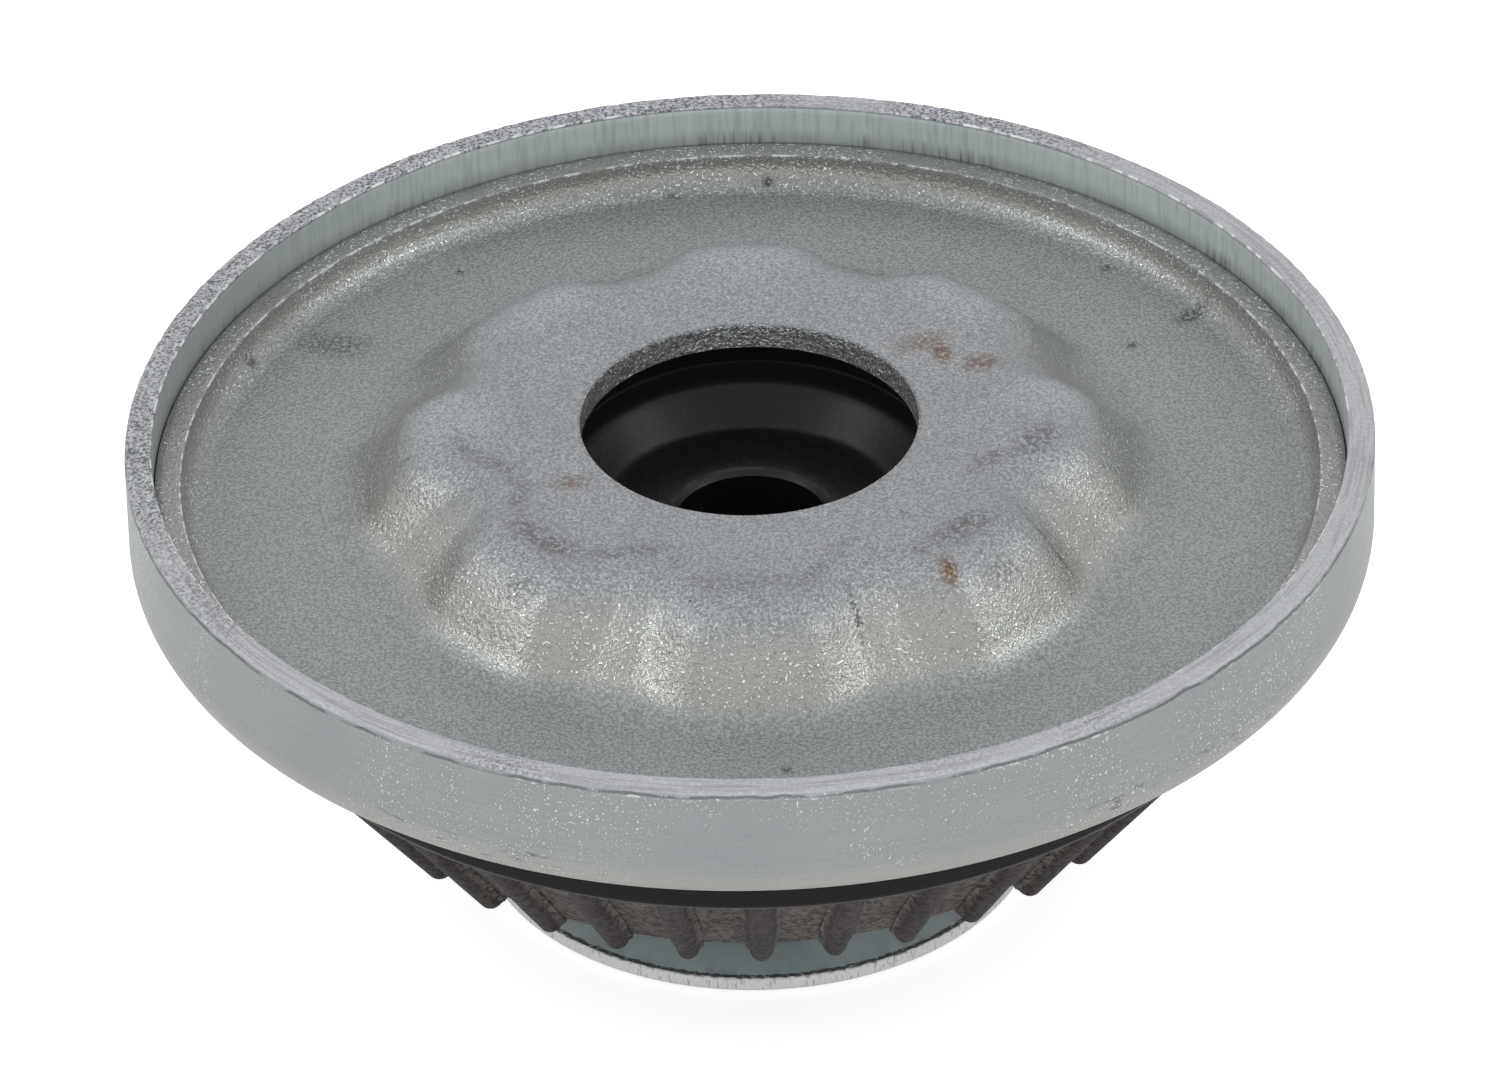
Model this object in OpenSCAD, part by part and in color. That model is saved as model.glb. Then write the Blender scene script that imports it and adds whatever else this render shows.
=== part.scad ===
// Suspension strut mount: a rubber-to-metal top mount that stands on its base disc.
// A pressed dish and a fluted cover hold a moulded rubber body, and the rubber holds
// a steel bush that the piston rod passes through. Millimetres, +Z up, the origin at
// the centre of the base disc's underside.

/* [Outer dish] */
// Outside diameter of the dish
dish_d = 116; // [112:0.5:130]
// Height of the dish from its underside to its rim
dish_h = 12.1; // [11:0.1:16]
// Height of the dish's underside above the surface that the mount stands on
dish_lift = 33.4; // [30:0.1:45]
// Thickness of the sheet of both pressings
sheet_t = 2.5; // [1.5:0.1:3]
// Outside radius of the bend between the dish's floor and its wall
dish_bend_r = 3; // [3:0.1:5]
// Diameter of the opening in the dish's floor that the rubber passes through
throat_d = 81; // [80:0.5:90]

/* [Fluted cover] */
// Depth of the cover's edge below the dish's rim
cover_step = 4.1; // [2:0.1:4.5]
// Radial gap between the cover and the dish's wall
cover_fit = 0.05; // [0.02:0.01:0.2]
// Fillet between the cover's flat land and its upturned edge
cover_fillet_r = 2.5; // [1:0.1:2.8]
// Diameter of the hole over the nut cup
hole_d = 31.4; // [24:0.1:34]
// Height of the dome above the land
dome_h = 8.15; // [7:0.05:9]
// Number of lobes round the dome
lobe_count = 8; // [6:1:12]
// Radius of the dome's flat top at the tips of the lobes
lobe_tip_r = 27.3; // [25:0.1:28]
// Depth of the flutes between the lobes, at the flat top
flute_depth = 3.6; // [2:0.1:5]
// Share of the ring that the lobes' full faces take up
lobe_share = 0.34; // [0.25:0.01:0.45]
// Share of the ring that the flutes' full floors take up
flute_share = 0.12; // [0.05:0.01:0.3]
// Radius of the dome's upper edge
dome_edge_r = 9; // [6:0.1:9.5]
// Radius of the fillet at the dome's foot
dome_foot_r = 4; // [3:0.1:5]
// Slope of the dome's side, in degrees
dome_slope = 58; // [52:1:60]

/* [Core bush] */
// Diameter of the bore for the piston rod
rod_d = 14.2; // [10:0.1:18]
// Chamfer at both ends of the bore
rod_chamfer = 0.5; // [0.2:0.1:1]
// Inside diameter of the nut cup
cup_d = 34.9; // [32:0.1:38]
// Depth of the cup's floor below the top of the dome
cup_depth = 10.8; // [9:0.1:14]
// Height of the cone between the cup's wall and its floor
cup_cone_h = 3.2; // [1:0.1:4]
// Height of the cup's edge above its floor
cup_edge_h = 5.6; // [4.5:0.1:6]
// Thickness of the cup's wall
cup_wall = 2.6; // [1.5:0.1:4]
// Thickness of the cup's floor
cup_floor_t = 3; // [2:0.1:5]
// Diameter of the stem below the cup
stem_d = 24; // [22:0.1:27]
// Diameter of the spigot that holds the base disc
spigot_d = 20; // [19:0.1:21]

/* [Base disc] */
// Diameter of the base disc
disc_d = 53; // [48:0.5:60]
// Thickness of the base disc
disc_t = 1.5; // [1:0.1:3]
// Radius of the rolled lower edge of the disc
disc_roll_r = 0.5; // [0.2:0.1:0.8]
// Radial gap between the disc and the spigot
disc_fit = 0.02; // [0.01:0.01:0.1]

/* [Rubber body] */
// Diameter of the smooth band under the dish
band_d = 100.2; // [98.5:0.1:104]
// Height of the band
band_h = 6.75; // [4:0.05:8]
// Radius of the band's lower edge
band_edge_r = 0.8; // [0.3:0.1:1]
// Diameter of the skirt where it leaves the band
skirt_top_d = 95.6; // [92:0.1:96]
// Diameter of the skirt at its lower edge
skirt_edge_d = 77; // [72:0.1:80]
// Height of the skirt
skirt_h = 12.35; // [8:0.05:14]
// Width of the skirt's lower edge
lip_w = 4.5; // [3:0.1:6]
// Diameter of the neck above the base disc
neck_d = 42; // [36:0.1:44]
// Height of the groove between neck and skirt above the skirt's lower edge
groove_h = 8; // [4:0.1:10]
// Radius of the groove's upper corners
groove_r = 3; // [1:0.1:3.5]
// Number of ribs on the skirt
rib_count = 36; // [24:1:40]
// Width of each half-round rib
rib_w = 2.9; // [2:0.1:3]
// Gap that the bond between rubber and metal takes up
bond = 0.1; // [0.05:0.01:0.2]

/* [Hidden] */
$fn = 96;
arc_steps = 5;
// Steps round each lobe of the dome
lobe_steps = 12;
// Length that a cut runs past the face it opens, and that joined forms share
overrun = 1;
// Spare metal that the true hole and outside of the cover take off
trim = 0.5;

zinc_grey = [0.62, 0.65, 0.66];
cover_grey = [0.58, 0.60, 0.61];
rubber_black = [0.13, 0.12, 0.12];
bush_black = [0.08, 0.08, 0.09];

dish_r = dish_d / 2;
dish_wall_r = dish_r - sheet_t;
dish_bend_in_r = dish_bend_r - sheet_t;
throat_r = throat_d / 2;
dish_floor_z = dish_lift + sheet_t;
rim_z = dish_lift + dish_h;

cover_r = dish_wall_r - cover_fit;
cover_bend_r = cover_fillet_r + sheet_t;
cover_edge_z = rim_z - cover_step;
land_z = dish_floor_z + sheet_t;
dome_z = land_z + dome_h;
hole_r = hole_d / 2;

lobe_angle = 360 / lobe_count;
step_angle = lobe_angle / lobe_steps;
// Straight stretch of the dome's side between its two arcs
slope_rise = dome_h - (dome_edge_r + dome_foot_r) * (1 - cos(dome_slope));
foot_r = lobe_tip_r + (dome_edge_r + dome_foot_r) * sin(dome_slope) + slope_rise / tan(dome_slope);

rod_r = rod_d / 2;
cup_r = cup_d / 2;
cup_out_r = cup_r + cup_wall;
cup_floor_r = cup_r - cup_cone_h;
cup_floor_z = dome_z - cup_depth;
cup_under_z = cup_floor_z - cup_floor_t;
cup_edge_z = cup_floor_z + cup_edge_h;
stem_r = stem_d / 2;
spigot_r = spigot_d / 2;
disc_r = disc_d / 2;

band_r = band_d / 2;
band_z = dish_lift - band_h;
skirt_top_r = skirt_top_d / 2;
skirt_edge_r = skirt_edge_d / 2;
skirt_z = band_z - skirt_h;
skirt_lean = atan2(skirt_top_r - skirt_edge_r, skirt_h);
lip_in_r = skirt_edge_r - lip_w;
groove_z = skirt_z + groove_h;
neck_r = neck_d / 2;
rib_r = rib_w / 2;
rib_length = norm([skirt_top_r - skirt_edge_r, skirt_h]);

// Points of an arc about a centre, from one angle to another
function arc(centre, r, from, to) =
    [for (i = [0 : arc_steps])
        let (a = from + (to - from) * i / arc_steps)
        centre + r * [cos(a), sin(a)]];

function reversed(points) = [for (i = [len(points) - 1 : -1 : 0]) points[i]];

// Section through a lobe's upper surface, from the edge of the flat top out to the land,
// set inwards by a thickness. The flutes fade from their full depth at the flat top to
// none at the round foot.
function lobe_rows(inset) =
    [for (p = concat(
        arc([lobe_tip_r, dome_z - dome_edge_r], dome_edge_r - inset, 90, 90 - dome_slope),
        arc([foot_r, land_z + dome_foot_r], dome_foot_r + inset, 270 - dome_slope, 270)))
        [p[0], p[1], flute_depth * (1 - pow((p[0] - lobe_tip_r) / (foot_r - lobe_tip_r), 2))]];

function round_rows(points) = [for (p = points) [p[0], p[1], 0]];

// Fall from a lobe's face, 0, to a flute's floor, 1, at an angle off the lobe's middle
function flute_fall(angle) =
    let (
        off = 2 * abs(angle) / lobe_angle,
        u = max(0, min(1, (off - lobe_share) / (1 - flute_share - lobe_share))))
    u * u * (3 - 2 * u);

// Point of a row at a step round the ring
function ring_point(row, step) =
    let (
        in_lobe = (step % lobe_steps) * step_angle,
        off_middle = in_lobe > lobe_angle / 2 ? in_lobe - lobe_angle : in_lobe,
        r = row[0] - row[2] * flute_fall(off_middle),
        a = step * step_angle - 90)
    [r * cos(a), r * sin(a), row[1]];

// Closed ring with a section given as rows of [radius, height, depth of the flutes]
module lobed_ring(rows) {
    ring_steps = lobe_count * lobe_steps;
    row_count = len(rows);
    polyhedron(
        points = [for (row = rows) for (step = [0 : ring_steps - 1]) ring_point(row, step)],
        faces = [for (i = [0 : row_count - 1]) for (j = [0 : ring_steps - 1])
            let (
                row = i * ring_steps,
                next_row = (i + 1) % row_count * ring_steps,
                next = (j + 1) % ring_steps)
            each [[row + j, row + next, next_row + next], [row + j, next_row + next, next_row + j]]]);
}

// Pressed steel dish with an upright wall and an open throat
module outer_dish() {
    color(zinc_grey)
        rotate_extrude()
            polygon(concat(
                [[throat_r, dish_lift]],
                arc([dish_r - dish_bend_r, dish_lift + dish_bend_r], dish_bend_r, 270, 360),
                [[dish_r, rim_z], [dish_wall_r, rim_z]],
                arc([dish_r - dish_bend_r, dish_lift + dish_bend_r], dish_bend_in_r, 360, 270),
                [[throat_r, dish_floor_z]]));
}

// Pressed steel cover, seated on the dish's floor: a lobed dome, a flat land and an
// upturned edge in one sheet. The hole and the outside are turned true.
module fluted_cover() {
    spare_r = cover_r + trim;
    fillet_centre = [cover_r - cover_bend_r, dish_floor_z + cover_bend_r];
    bend_centre = fillet_centre + [trim, 0];
    color(cover_grey)
        difference() {
            intersection() {
                lobed_ring(concat(
                    [[hole_r - trim, dome_z, 0]],
                    lobe_rows(0),
                    round_rows(arc(fillet_centre, cover_fillet_r, 270, 360)),
                    [[cover_r - sheet_t, cover_edge_z, 0], [spare_r, cover_edge_z, 0]],
                    round_rows(arc(bend_centre, cover_bend_r, 360, 270)),
                    reversed(lobe_rows(sheet_t)),
                    [[hole_r - trim, dome_z - sheet_t, 0]]));
                cylinder(h = dome_z + overrun, r = cover_r);
            }
            cylinder(h = dome_z + overrun, r = hole_r);
        }
}

// Half-round rib down the skirt, with a round lower end
module skirt_rib() {
    intersection() {
        translate([skirt_edge_r, 0, skirt_z])
            rotate([0, skirt_lean, 0])
                rotate_extrude()
                    polygon(concat(
                        arc([0, 0], rib_r, 270, 360),
                        [[rib_r, rib_length + rib_w], [0, rib_length + rib_w]]));
        cylinder(h = band_z + band_edge_r / 2, r = dish_r);
    }
}

// Outside of the moulding below the dish, with the groove between skirt and neck
module rubber_section() {
    seat_z = disc_t + bond;
    top_z = dish_lift - bond;
    polygon(concat(
        [[0, seat_z], [neck_r, seat_z]],
        arc([neck_r + groove_r, groove_z - groove_r], groove_r, 180, 90),
        arc([lip_in_r - groove_r, groove_z - groove_r], groove_r, 90, 0),
        [[lip_in_r, skirt_z], [skirt_edge_r, skirt_z], [skirt_top_r, band_z]],
        arc([band_r - band_edge_r, band_z + band_edge_r], band_edge_r, 270, 360),
        [[band_r, top_z], [0, top_z]]));
}

// Room for the bush inside the rubber, and the open mouth of the cup above it
module bush_room() {
    rotate_extrude()
        polygon([
            [0, 0], [stem_r + bond, 0],
            [stem_r + bond, cup_under_z - bond],
            [cup_out_r - cup_cone_h + bond, cup_under_z - bond],
            [cup_out_r + bond, cup_under_z + cup_cone_h - bond],
            [cup_out_r + bond, cup_edge_z + bond],
            [cup_r, cup_edge_z + bond],
            [cup_r, dome_z], [0, dome_z]]);
}

// Filling between the dome and the nut cup, down through the dish's throat
module dome_filling() {
    inset = sheet_t + bond;
    foot_z = dish_lift - bond - overrun;
    cup_room_z = cup_edge_z + bond;
    lobed_ring(concat(
        [[cup_r, dome_z - inset, 0]], lobe_rows(inset),
        [[throat_r - bond, land_z - inset, 0], [throat_r - bond, foot_z, 0],
         [cup_out_r + bond, foot_z, 0], [cup_out_r + bond, cup_room_z, 0], [cup_r, cup_room_z, 0]]));
}

// One rubber moulding: dome filling, band, ribbed skirt and neck
module rubber_body() {
    color(rubber_black)
        union() {
            dome_filling();
            difference() {
                union() {
                    rotate_extrude()
                        rubber_section();
                    for (i = [0 : rib_count - 1])
                        rotate([0, 0, i * 360 / rib_count - 90])
                            skirt_rib();
                }
                bush_room();
            }
        }
}

// Steel bush: nut cup with a coned floor, stem, and spigot for the disc
module core_bush() {
    color(bush_black)
        rotate_extrude()
            polygon([
                [rod_r + rod_chamfer, 0], [spigot_r, 0], [spigot_r, disc_t],
                [stem_r, disc_t], [stem_r, cup_under_z],
                [cup_out_r - cup_cone_h, cup_under_z],
                [cup_out_r, cup_under_z + cup_cone_h], [cup_out_r, cup_edge_z],
                [cup_r, cup_edge_z], [cup_r, cup_floor_z + cup_cone_h],
                [cup_floor_r, cup_floor_z], [rod_r + rod_chamfer, cup_floor_z],
                [rod_r, cup_floor_z - rod_chamfer], [rod_r, rod_chamfer]]);
}

// Steel disc on the bush's spigot, rolled over at its lower edge
module base_disc() {
    hole = spigot_r + disc_fit;
    color(zinc_grey)
        rotate_extrude()
            polygon(concat(
                [[hole, 0]],
                arc([disc_r - disc_roll_r, disc_roll_r], disc_roll_r, 270, 360),
                [[disc_r, disc_t], [hole, disc_t]]));
}

outer_dish();
fluted_cover();
rubber_body();
core_bush();
base_disc();
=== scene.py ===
"""Looks of a suspension strut mount: zinc-plated pressings, ribbed rubber, black bush, base disc."""
import math

import bpy
import numpy as np
from mathutils import Matrix, Quaternion, Vector


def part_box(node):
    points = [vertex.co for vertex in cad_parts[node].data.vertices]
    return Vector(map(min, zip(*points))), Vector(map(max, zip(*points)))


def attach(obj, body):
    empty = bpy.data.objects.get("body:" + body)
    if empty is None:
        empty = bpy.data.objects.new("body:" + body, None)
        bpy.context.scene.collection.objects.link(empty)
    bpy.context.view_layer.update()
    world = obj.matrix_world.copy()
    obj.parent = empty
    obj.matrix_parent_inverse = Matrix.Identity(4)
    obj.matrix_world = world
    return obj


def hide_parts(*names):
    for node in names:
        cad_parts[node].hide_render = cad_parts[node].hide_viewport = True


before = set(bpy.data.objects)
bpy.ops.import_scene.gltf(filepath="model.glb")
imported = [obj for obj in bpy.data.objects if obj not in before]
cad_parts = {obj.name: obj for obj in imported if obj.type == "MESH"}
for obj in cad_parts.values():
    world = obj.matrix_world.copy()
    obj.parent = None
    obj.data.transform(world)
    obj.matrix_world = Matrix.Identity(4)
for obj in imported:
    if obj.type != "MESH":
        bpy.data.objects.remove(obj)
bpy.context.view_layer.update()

bl_info = {
    "name": "Strut Mount",
    "version": (1, 0, 0),
    "blender": (4, 5, 0),
    "location": "3D View > Sidebar > Strut Mount",
    "description": "Builds the strut mount's finished pieces and its studio stage",
    "category": "Add Mesh",
}

MM = 0.001
BODY = "root"
PHOTO_W, PHOTO_H = 1508, 1080
SENSOR_MM = 36.0

# Steps round the axis: finest on the torn rim, fine on the lobes and the disc's burr
RIM_STEPS, FINE_STEPS, PLAIN_STEPS = 1080, 720, 360

DISH_LOW, DISH_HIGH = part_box("outer_dish")
COVER_LOW, COVER_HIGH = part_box("fluted_cover")
RUBBER_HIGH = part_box("rubber_body")[1]
BUSH_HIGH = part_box("core_bush")[1]
DISC_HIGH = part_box("base_disc")[1]

FLOOR_GLOW = 0.68
FLOOR_GLOW_IN_GLOSS = 0.4
FLOOR_HALF = 3.0
FLOOR_Z = -0.05 * MM
WORLD_LOW, WORLD_HIGH = 0.95, 1.0

# Lamps: name, place in metres, width, height, power, roll in degrees
LAMP_AIM = (0.0, 0.0, 0.03)
LAMPS = [
    ("left_strip", (-0.78, -0.08, 0.8), 0.07, 0.6, 1.9, 39.0),
    ("right_strip", (0.78, -0.08, 0.8), 0.07, 0.6, 1.7, -39.0),
    ("front_fill", (0.0, -1.25, 0.28), 1.3, 0.35, 4.4, 0.0),
]

# Marks on the cover: x and y in millimetres, reach, stretch, turn in degrees, strength
DARK_MARKS_AND_CREASE_SHADE = [
    (-38.9, 26.1, 3.2, 1.7, -8.0, 0.6),
    (-46.9, 22.5, 0.9, 1.3, 40.0, 0.8),
    (42.3, 27.8, 1.6, 1.9, 40.0, 0.8),
    (34.6, 36.3, 0.9, 1.2, 0.0, 0.9),
    (36.4, 22.9, 0.9, 1.2, 20.0, 0.9),
    (2.7, -44.6, 0.7, 1.6, -50.0, 0.9),
    (0.0, -26.3, 2.2, 3.4, 0.0, 0.3),
    (-18.9, -19.2, 2.4, 2.6, -40.0, 0.5),
    (19.6, -18.4, 2.4, 2.8, 40.0, 0.5),
    (26.6, -4.3, 2.4, 1.8, 60.0, 0.55),
    (2.3, 51.9, 0.8, 1.2, 0.0, 0.9),
    (-6.8, 50.5, 0.7, 1.5, 0.0, 0.8),
    (14.1, -15.9, 0.5, 1.2, 0.0, 0.9),
    (-21.0, -24.1, 1.5, 2.0, -40.0, 0.5),
    (22.4, -23.0, 1.5, 2.4, 45.0, 0.45),
    # Painted shade: the next two are long thin dark lines along the flute creases
    (9.3, -28.5, 0.7, 6.0, -72.0, 0.75),
    (27.2, -16.9, 0.5, 8.0, -32.0, 0.7),
    (-27.4, 38.2, 0.6, 1.3, 0.0, 0.9),
    (-32.0, -3.1, 0.6, 1.2, 0.0, 0.9),
    (-5.6, -28.5, 0.45, 1.2, 0.0, 0.8),
]
RUST_MARKS = [
    (17.9, -24.3, 2.1, 0.6, 10.0, 1.0),
    (18.2, 10.3, 2.8, 0.5, 10.0, 0.9),
    (21.9, 8.5, 2.2, 1.4, 20.0, 0.75),
    (16.2, 12.0, 2.4, 1.6, 20.0, 0.6),
    (-16.4, -9.8, 1.8, 1.5, 10.0, 0.6),
]
# Painted sheen: paler bluish patches on the lobes' tips
TIP_SHEEN_MARKS = [
    (-28.0, 1.0, 7.0, 1.0, 0.0, 0.55),
    (28.5, 3.0, 6.5, 1.0, 0.0, 0.5),
    (20.5, 20.5, 6.0, 1.3, -45.0, 0.5),
    (1.0, 27.0, 6.0, 1.4, 0.0, 0.4),
    (-20.0, 20.0, 6.0, 1.3, 45.0, 0.4),
]


def length(name, description, default):
    """A size in metres that a user would change."""
    return bpy.props.FloatProperty(
        name=name, description=description, default=default, min=0.0,
        unit="LENGTH", subtype="DISTANCE", precision=5,
    )


def colour(name, description, default):
    """A finish colour in scene-linear values."""
    return bpy.props.FloatVectorProperty(
        name=name, description=description, default=default, size=3,
        min=0.0, max=1.0, subtype="COLOR",
    )


class MountSizes(bpy.types.PropertyGroup):
    """Sizes of the pieces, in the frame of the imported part."""

    sheet: length("Sheet", "Thickness of both pressings", 2.5 * MM)
    dish_bend: length("Dish Bend", "Outside radius between the dish's floor and wall", 3.0 * MM)
    throat: length("Throat", "Radius of the opening in the dish's floor", 40.5 * MM)
    cover_step: length("Cover Step", "Depth of the cover's edge below the rim", 4.1 * MM)
    cover_fillet: length("Cover Fillet", "Fillet between the land and the upturned edge", 2.5 * MM)
    hole: length("Hole", "Radius of the hole over the nut cup", 15.7 * MM)
    dome_height: length("Dome Height", "Height of the dome above the land", 8.15 * MM)
    lobe_tip: length("Lobe Tip", "Radius of the flat top at the tips of the lobes", 27.3 * MM)
    flute_depth: length("Flute Depth", "Depth of the flutes at the flat top", 3.6 * MM)
    dome_edge: length("Dome Edge", "Radius of the dome's upper edge", 7.2 * MM)
    dome_foot: length("Dome Foot", "Fillet at the dome's foot", 5.4 * MM)
    dome_slope: bpy.props.FloatProperty(
        name="Dome Slope", description="Slope of the dome's side", default=math.radians(51.0),
        subtype="ANGLE",
    )
    lobe_count: bpy.props.IntProperty(
        name="Lobes", description="Lobes round the dome", default=8, min=3,
    )
    lobe_share: bpy.props.FloatProperty(
        name="Lobe Share", description="Share of the ring that the lobes' full faces take up",
        default=0.34, subtype="FACTOR",
    )
    flute_share: bpy.props.FloatProperty(
        name="Flute Share", description="Share of the ring that the flutes' full floors take up",
        default=0.12, subtype="FACTOR",
    )
    rod: length("Rod Bore", "Radius of the bore for the piston rod", 7.1 * MM)
    cup: length("Cup", "Inside radius of the nut cup", 17.45 * MM)
    cup_depth: length("Cup Depth", "Depth of the cup's floor below the dome", 10.8 * MM)
    cup_cone: length("Cup Cone", "Height of the cone above the cup's floor", 3.2 * MM)
    cup_floor: length("Cup Floor", "Thickness of the cup's floor", 3.0 * MM)
    stem: length("Stem", "Radius of the stem below the cup", 12.0 * MM)
    spigot: length("Spigot", "Radius of the spigot in the disc", 10.0 * MM)
    band_height: length("Band Height", "Height of the rubber band under the dish", 6.75 * MM)
    skirt_top: length("Skirt Top", "Radius of the skirt under the band", 47.8 * MM)
    skirt_edge: length("Skirt Edge", "Radius of the skirt at its lower edge", 38.5 * MM)
    skirt_height: length("Skirt Height", "Height of the skirt", 12.35 * MM)
    lip: length("Lip", "Width of the skirt's lower edge", 4.5 * MM)
    neck: length("Neck", "Radius of the neck above the disc", 21.0 * MM)
    groove_height: length("Groove Height", "Height of the groove above the skirt's edge", 8.0 * MM)
    groove: length("Groove Corner", "Radius of the groove's corners", 3.0 * MM)
    rib_count: bpy.props.IntProperty(
        name="Ribs", description="Ribs round the skirt", default=36, min=3,
    )
    rib: length("Rib", "Half the width of a rib", 1.45 * MM)
    bond: length("Bond", "Gap between rubber and metal", 0.1 * MM)


class MountFinishes(bpy.types.PropertyGroup):
    """Colours of the finishes."""

    zinc_wall: colour("Zinc Wall", "Outside of the dish", (0.286, 0.303, 0.307))
    # Clouds on the dish's wall, and also painted shade on the inner wall's left side
    zinc_wall_dim_and_shade: colour("Zinc Wall, Dim", "Clouds on the dish's wall", (0.245, 0.266, 0.272))
    # Painted light: lighter and warmer towards the wall's foot, as light from the floor
    zinc_wall_low_lit: colour("Zinc Wall, Low", "Warm tint low on the dish's wall", (0.420, 0.396, 0.366))
    zinc_rim: colour("Zinc Rim", "Sheared top of the dish's rim", (0.430, 0.440, 0.465))
    zinc_rim_dim: colour("Zinc Rim, Dim", "Hollows in the sheared rim", (0.235, 0.240, 0.265))
    zinc_inner: colour("Zinc Inner Wall", "Inside of the dish's wall", (0.465, 0.525, 0.514))
    zinc_rim_pit: colour("Zinc Rim Pit", "Bluish pits in the sheared rim", (0.075, 0.080, 0.100))
    zinc_land: colour("Zinc Land", "Flat land of the cover", (0.300, 0.318, 0.322))
    zinc_land_dim: colour("Zinc Land, Dim", "Clouds on the land", (0.262, 0.280, 0.284))
    zinc_dome: colour("Zinc Dome", "Top of the cover's dome", (0.305, 0.316, 0.334))
    zinc_slope: colour("Zinc Slope", "Sides of the cover's dome", (0.340, 0.350, 0.325))
    zinc_edge: colour("Zinc Edge", "Sheared top of the cover's edge", (0.308, 0.311, 0.300))
    zinc_fillet: colour("Zinc Fillet", "Brownish ring by the cover's edge", (0.213, 0.213, 0.193))
    # Grain pits and nicks, and also painted shade low on the dish's inner wall
    zinc_pit_and_shade: colour("Zinc Pit", "Pits of the sheet's grain", (0.112, 0.118, 0.118))
    # Painted sheen on the lobes' tips
    zinc_tip_sheen: colour("Zinc, Pale", "Bluish bloom on the lobes' tips", (0.400, 0.425, 0.475))
    # Painted highlight: glints, sparkle and bright edge lines are painted in this colour
    painted_glint: colour("Glint", "Bright grains and crests", (0.680, 0.700, 0.685))
    zinc_disc: colour("Zinc Disc", "Base disc", (0.640, 0.770, 0.790))
    zinc_disc_dim: colour("Zinc Disc, Dim", "Clouds on the base disc", (0.540, 0.660, 0.680))
    rust: colour("Rust", "Rust stains on the dome", (0.130, 0.070, 0.032))
    # Real specks and scuffs, and also painted shade: the line under the dish rim's outer edge and two
    # crease lines
    grime_and_shade: colour("Grime", "Dark specks and scuffs", (0.045, 0.045, 0.045))
    rubber_gloss: colour("Rubber Band", "Smooth band under the dish", (0.0055, 0.0055, 0.0057))
    rubber_dull: colour("Rubber Skirt", "Dull ribbed skirt", (0.132, 0.115, 0.107))
    rubber_dark: colour("Rubber, Dark", "Clean patches of the skirt", (0.017, 0.015, 0.0145))
    rubber_dust: colour("Rubber Dust", "Pale motes on the skirt", (0.134, 0.126, 0.118))
    bush_black: colour("Bush", "Black coat of the bush", (0.006, 0.006, 0.007))
    bush_dust: colour("Bush Dust", "Dust on the bush", (0.017, 0.017, 0.017))
    # Painted shade: this black stands in for the shade on the cup's wall
    bush_shade: colour("Bush Wall", "Deep black of the cup's wall", (0.002, 0.002, 0.002))
    # Painted highlight on the lip round the bore
    bush_lip_highlight: colour("Bush Lip", "Worn lip round the bore", (0.16, 0.16, 0.16))


class StageSettings(bpy.types.PropertyGroup):
    """Camera and light of the studio."""

    elevation: bpy.props.FloatProperty(
        name="Elevation", description="Camera's height above the horizon, seen from the rim's centre",
        default=math.radians(34.113), subtype="ANGLE",
    )
    roll: bpy.props.FloatProperty(
        name="Roll", description="Turn of the picture about the view", default=math.radians(1.341),
        subtype="ANGLE",
    )
    distance: length("Distance", "Camera to the centre of the rim", 1100.0 * MM)
    focal_px: bpy.props.FloatProperty(
        name="Focal Length", description="Focal length in pixels of the photo's width", default=11856.5,
    )
    rim_x: bpy.props.FloatProperty(
        name="Rim X", description="Pixel column of the rim's centre in the photo", default=752.0,
    )
    rim_y: bpy.props.FloatProperty(
        name="Rim Y", description="Pixel row of the rim's centre in the photo", default=427.8,
    )
    floor_colour: colour("Floor", "Pale floor under the mount", (0.7, 0.7, 0.7))


GROUPS = {"mount_sizes": MountSizes, "mount_finishes": MountFinishes, "mount_stage": StageSettings}


def sizes():
    return bpy.context.scene.mount_sizes


def finishes():
    return bpy.context.scene.mount_finishes


# Mesh helpers

def arc(centre, radius, start, end, steps):
    """Points of an arc about a centre, angles in degrees."""
    turns = np.radians(np.linspace(start, end, steps + 1))
    return [(centre[0] + radius * math.cos(a), centre[1] + radius * math.sin(a)) for a in turns]


def line(start, end, steps):
    """Points of a straight stretch, without its first point."""
    return [
        (start[0] + (end[0] - start[0]) * i / steps, start[1] + (end[1] - start[1]) * i / steps)
        for i in range(1, steps + 1)
    ]


def ripple(angles, low, high, seed):
    """Smooth random wave round the axis, with about unit height."""
    rng = np.random.default_rng(seed)
    waves = np.arange(low, high + 1)
    phases = rng.uniform(0.0, 2.0 * math.pi, len(waves))
    heights = rng.uniform(0.4, 1.0, len(waves))
    total = (heights[:, None] * np.cos(waves[:, None] * angles[None, :] + phases[:, None])).sum(0)
    return total / math.sqrt((heights ** 2).sum() / 2.0)


def ring_angles(steps):
    return np.arange(steps) * 2.0 * math.pi / steps - math.pi / 2.0


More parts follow.
